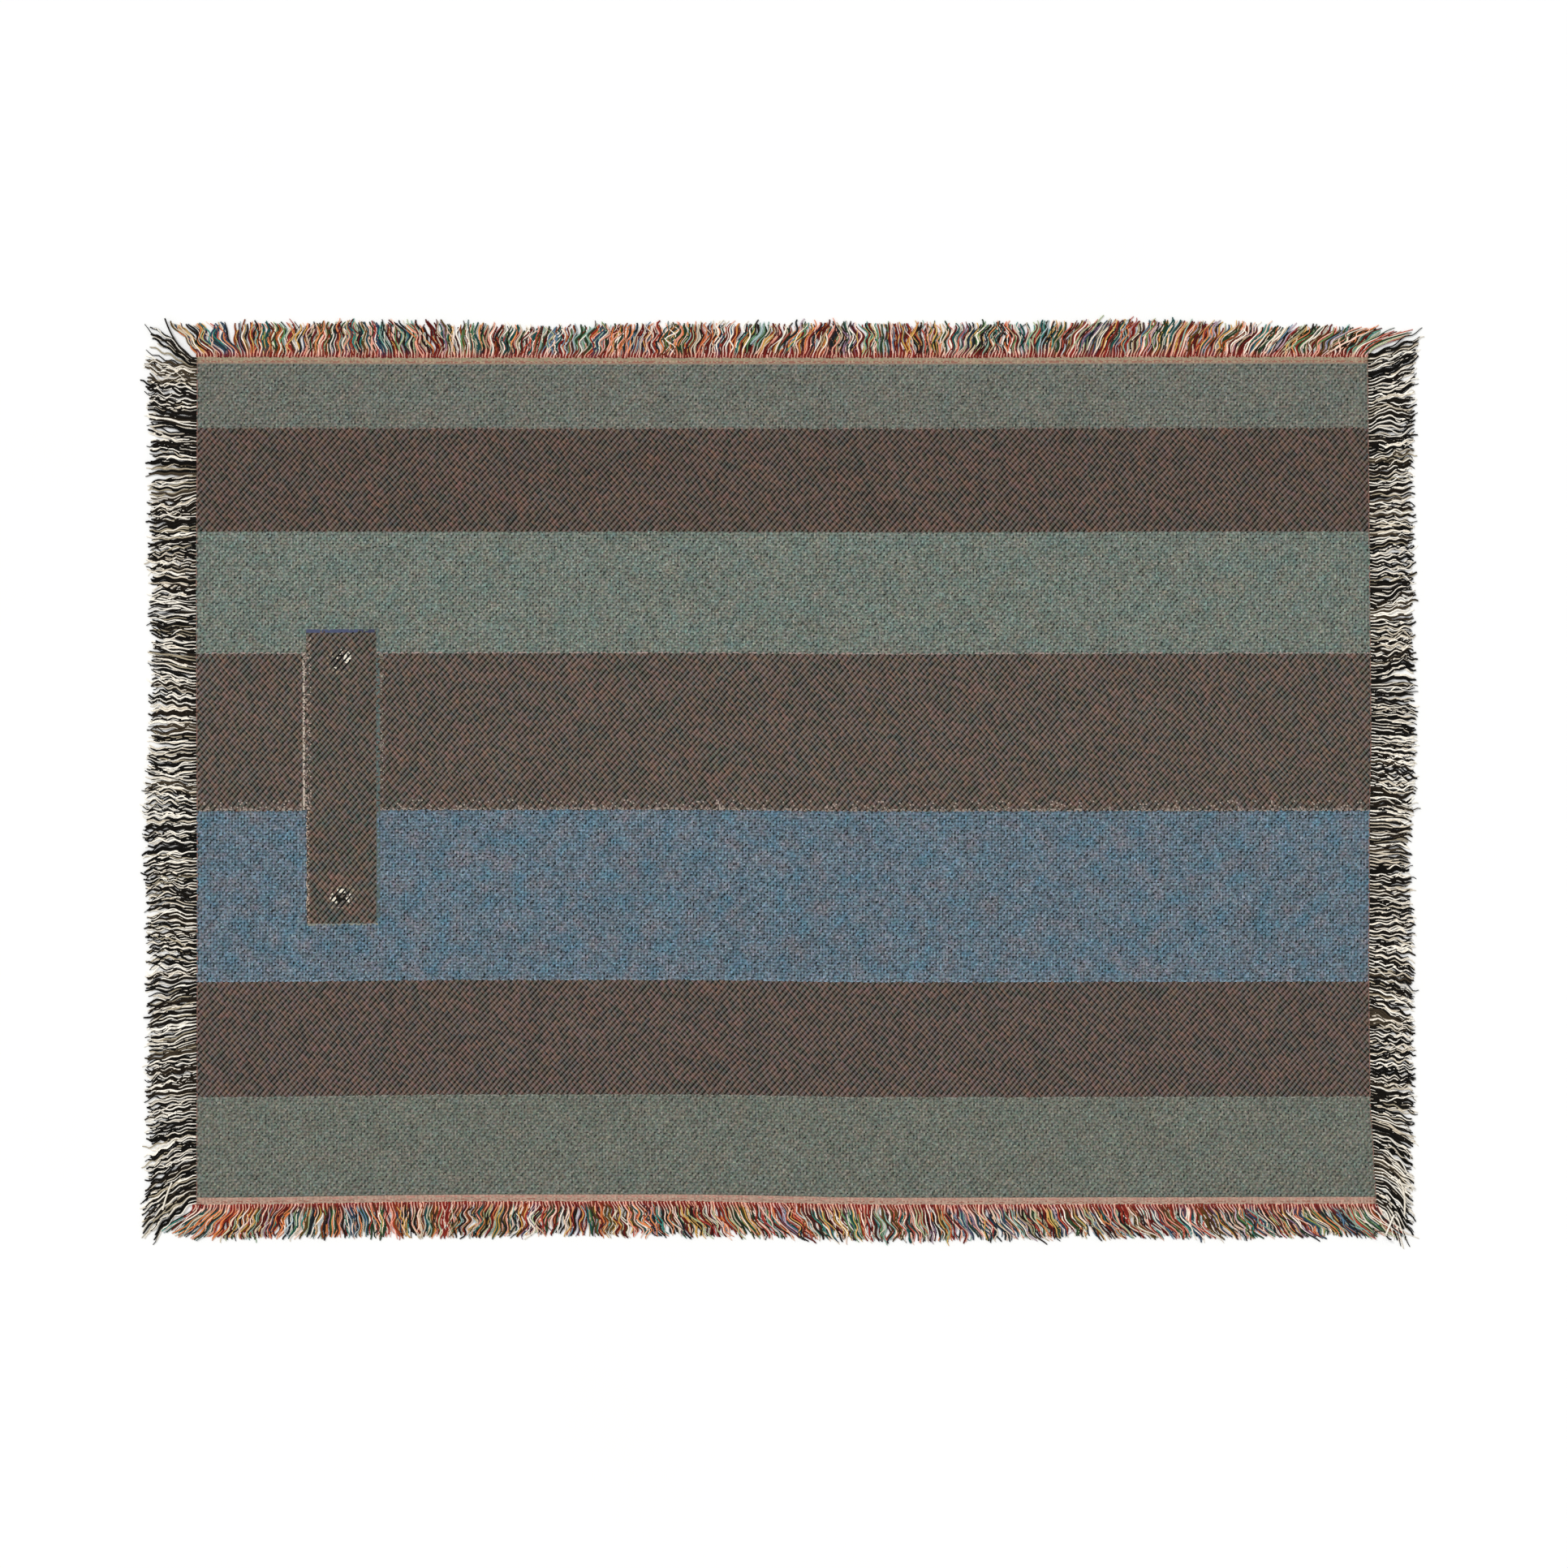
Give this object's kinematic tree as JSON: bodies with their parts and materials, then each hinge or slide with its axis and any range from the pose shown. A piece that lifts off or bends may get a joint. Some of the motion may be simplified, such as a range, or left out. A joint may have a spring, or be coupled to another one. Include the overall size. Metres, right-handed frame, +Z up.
{
  "type": "fringed woven throw",
  "caption": "Striped woven throw laid flat, with a plain border strip at each end and a yarn fringe along every side.",
  "frame": {"origin": "centre of the whole throw, fringe included, on the surface it lies on", "axes": "+X along the long side, +Y across it towards the top border, +Z up out of the cloth"},
  "size_m": [1.4442, 1.0426, 0.0038],
  "materials": {
    "woven_cotton": "matte jacquard weave",
    "coloured_warp_yarn": "matte cotton yarn in many colours",
    "black_cream_weft_yarn": "matte cotton yarn, black and cream"
  },
  "bodies": {
    "root": {"cloth": "woven_cotton", "top_fringe": "coloured_warp_yarn", "bottom_fringe": "coloured_warp_yarn", "left_fringe": "black_cream_weft_yarn", "right_fringe": "black_cream_weft_yarn"}
  },
  "joints": []
}
